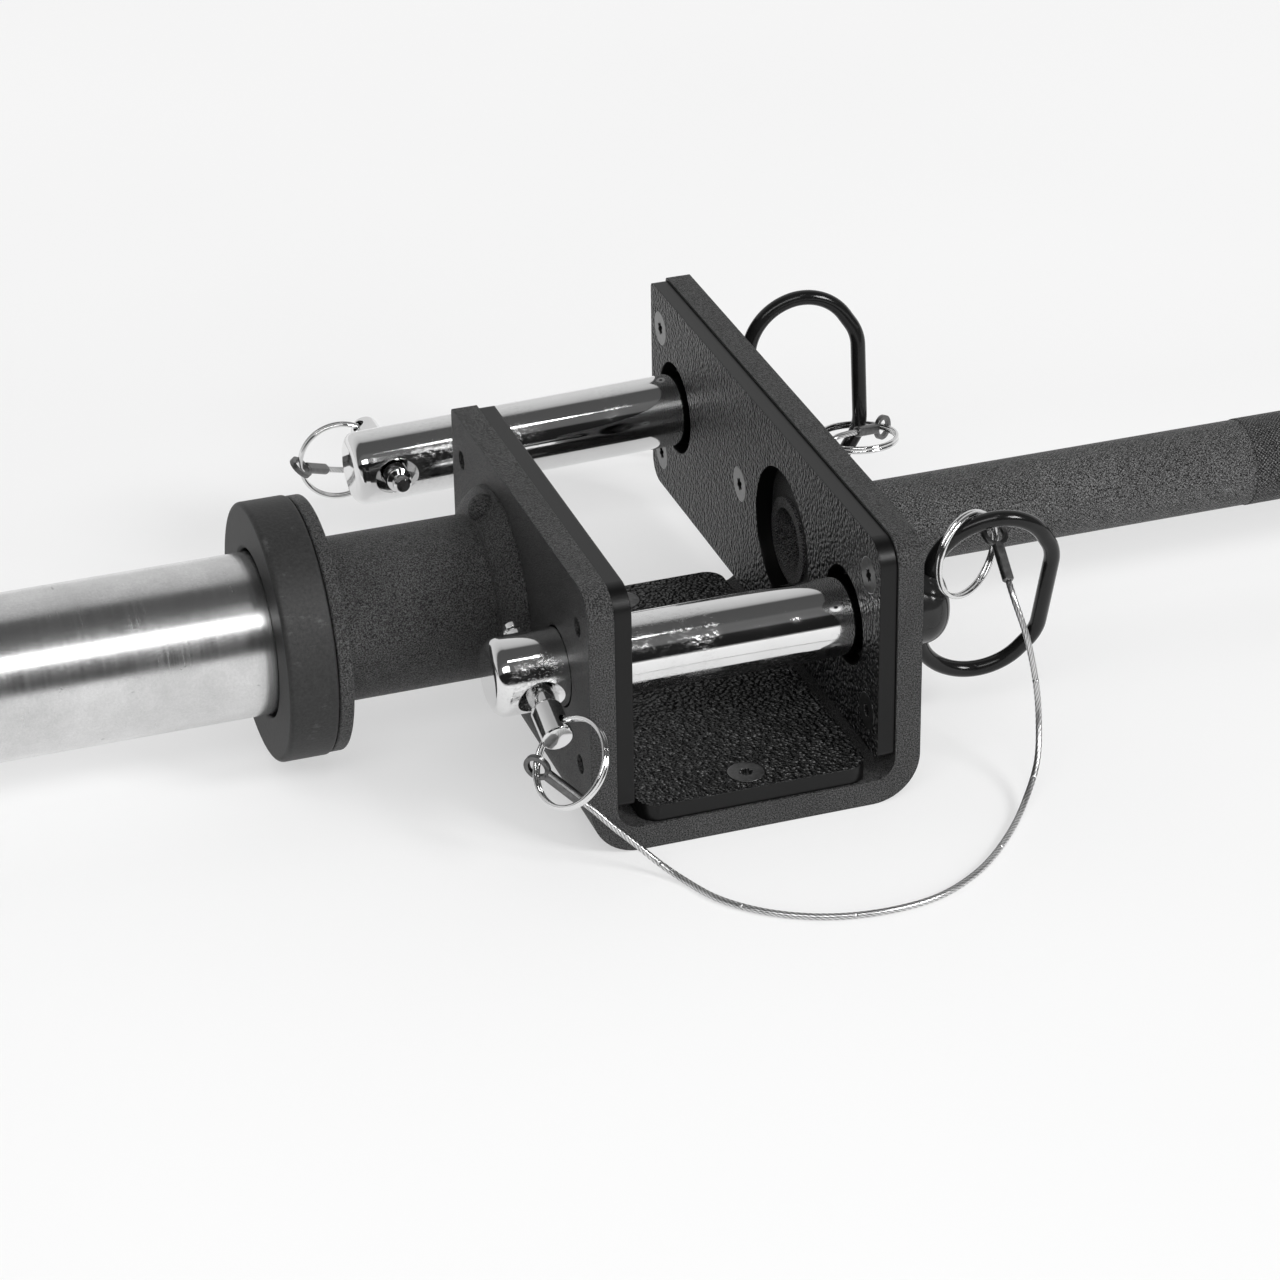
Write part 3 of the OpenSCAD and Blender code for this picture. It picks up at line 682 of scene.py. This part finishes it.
def make_floor():
    """A pale floor that the eye and the metal see lighter than the lamps make it."""
    bpy.ops.mesh.primitive_plane_add(size=FLOOR_SIZE, location=(0, 0, -FLOOR_DROP))
    floor = bpy.context.object
    floor.name = "floor"
    n = Paint("pale_floor")
    across, along, _ = n.axes()
    rays = n.rays()
    seen = n.larger(rays["Is Camera Ray"],
                    n.larger(rays["Is Glossy Ray"], rays["Is Transmission Ray"]))
    near = n.times(n.ramp(along, NEAR_GLOW_ALONG, NEAR_GLOW), seen)
    off = n.plus(n.times(across, across), n.times(along, along))
    far = n.times(n.ramp(off, FAR_GLOW_OFF, FAR_GLOW), rays["Is Camera Ray"])
    tone = n.spread(n.noise(scale=3, detail=2, rough=0.5), *FLOOR_TONES)
    floor.data.materials.append(n.finish(
        tone, 0.7, Specular_IOR_Level=0.2, Emission_Color=(1, 1, 1, 1),
        Emission_Strength=n.larger(near, far)))


def make_room():
    """Metal mirrors a room that is white behind the bar and dark overhead and in front of
    it, while the camera sees a plain pale surround."""
    world = bpy.data.worlds.new("studio")
    bpy.context.scene.world = world
    world.use_nodes = True
    world.node_tree.nodes.clear()
    n = Nodes(world.node_tree, "Generated")
    _, y, z = n.axes()
    turn = n.math("DIVIDE", n.math("ARCTAN2", y, z), 2 * math.pi)
    greys = n.stops(n.minus(0.5, turn), [(0.5 + degrees / 360, grey) for degrees, grey in ROOM])
    mix = n.add("ShaderNodeMixShader")
    n.link(n.rays()["Is Camera Ray"], mix.inputs[0])
    n.link(n.background(greys, ROOM_STRENGTH), mix.inputs[1])
    n.link(n.background(SURROUND, 1.0), mix.inputs[2])
    n.link(mix.outputs[0], n.add("ShaderNodeOutputWorld").inputs[0])


def make_lamps():
    for name, (at, target, size, watts, mirrored) in LAMPS.items():
        data = bpy.data.lights.new(name, "AREA")
        data.shape = "RECTANGLE"
        data.size, data.size_y = size
        data.energy = watts
        lamp = bpy.data.objects.new(name, data)
        lamp.location = at
        lamp.rotation_euler = (Vector(target) - Vector(at)).to_track_quat("-Z", "Y").to_euler()
        lamp.visible_glossy = mirrored
        bpy.context.scene.collection.objects.link(lamp)


make_camera()
ROPE = rope_steel()
WIRE = gloss_plastic("coated_wire", tone=0.006, rough=0.10, shine=0.28)
make_lanyards(ROPE)
make_handles(WIRE)
dress(
    by_piece={
        "grip_bar": powder_coat("knurled_powder_coat", knurl=True),
        "floor_liner": pebbled_plastic("pebbled_floor", face="Z"),
        "front_pin": bright_plate("rubbed_front_pin", tone=0.80, rough=0.05, rubbed=1.0),
        "rear_pin": bright_plate("rubbed_rear_pin", tone=0.80, rough=0.05, rubbed=0.5),
    },
    by_slot={
        "black_powder_coat": powder_coat("powder_coat"),
        "bare_steel": satin_steel(),
        "cap_plastic": gloss_plastic("cap_plastic", tone=0.03, rough=0.4),
        "bumper_rubber": rubber(),
        "liner_plastic": pebbled_plastic("pebbled_wall", face="X"),
        "black_screw": dull_steel("black_screw", tone=0.17, rough=0.28),
        "bright_zinc": bright_plate("bright_zinc", tone=0.80, rough=0.05, rubbed=0.0),
        "knob_plastic": gloss_plastic("knob_plastic", tone=0.010, rough=0.10, shine=0.35),
        "coated_wire": WIRE,
        "bright_ring": bright_plate("bright_ring", tone=0.78, rough=0.10, rubbed=0.0),
        "crimped_steel": dull_steel("crimped_steel", tone=0.16, rough=0.30),
        "steel_rope": ROPE,
    },
)
make_floor()
make_room()
make_lamps()
bpy.context.scene.view_settings.view_transform = "Standard"
bpy.context.scene.view_settings.look = "None"
